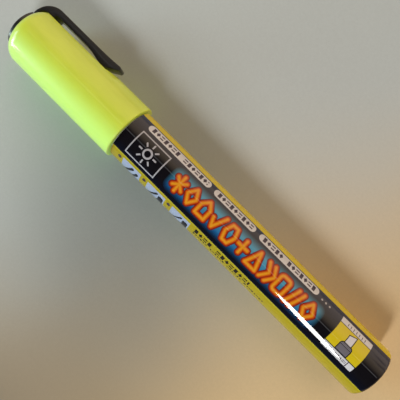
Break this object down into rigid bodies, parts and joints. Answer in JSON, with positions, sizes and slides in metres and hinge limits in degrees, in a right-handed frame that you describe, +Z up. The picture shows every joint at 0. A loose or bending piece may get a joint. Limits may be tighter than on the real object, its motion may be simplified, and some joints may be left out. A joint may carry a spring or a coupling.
{
  "type": "highlighter",
  "caption": "Valve-action highlighter marker with a chisel nib, pull-off cap with pocket clip, printed sleeve, spring valve and mixing ball.",
  "frame": {"origin": "centre of the flat face on the cap's closed end, on the pen's axis", "axes": "+X along the pen from the cap to the tail, +Y towards the pocket clip, +Z up when the pen lies with its clip to one side and its dark label panel on top"},
  "size_m": [0.1406, 0.0208, 0.0182],
  "materials": {
    "cap_yellow": "glossy fluorescent yellow polypropylene, slightly translucent",
    "milky_plastic": "milky natural polypropylene",
    "black_plastic": "black moulded plastic, satin to glossy",
    "white_plastic": "white moulded plastic",
    "printed_film": "glossy printed shrink film, black panel over golden yellow",
    "tail_black": "black moulded plastic",
    "rubber": "soft black rubber",
    "collar_grey": "light grey moulded plastic",
    "nib_felt": "pressed fibre, tinted at the writing edge",
    "spring_steel": "drawn stainless wire",
    "ball_steel": "polished steel ball"
  },
  "bodies": {
    "barrel": {"barrel": "white_plastic", "label_sleeve": "printed_film", "tail_plug": "tail_black", "tail_seal": "rubber", "collar": "collar_grey", "collar_seal": "rubber", "nib_guide": "milky_plastic", "valve_seat": "rubber", "valve_cage": "milky_plastic", "valve_cap": "milky_plastic", "valve_spring": "spring_steel"},
    "cap": {"cap_shell": "cap_yellow", "inner_cap": "milky_plastic", "crown": "black_plastic"},
    "clip": {"clip": "black_plastic"},
    "nib": {"nib": "nib_felt", "valve_stem": "milky_plastic"},
    "ball": {"mixing_ball": "ball_steel"}
  },
  "joints": [
    {"name": "cap_slide", "type": "slide", "parent": "barrel", "child": "cap", "axis": [-1, 0, 0], "range_m": [0, 0.045]},
    {"name": "clip_flex", "type": "hinge", "parent": "cap", "child": "clip", "pos_m": [0.00044, 0.00522, 0], "axis": [0, 0, 1], "range_deg": [0, 5], "stiffness_Nm_per_rad": 0.7},
    {"name": "nib_press", "type": "slide", "parent": "barrel", "child": "nib", "axis": [1, 0, 0], "range_m": [0, 0.002], "stiffness_N_per_m": 1500, "springref_m": -0.0015, "deforming": ["valve_spring"]},
    {"name": "ball_roll", "type": "slide", "parent": "barrel", "child": "ball", "axis": [-1, 0, 0], "range_m": [0, 0.069]}
  ]
}
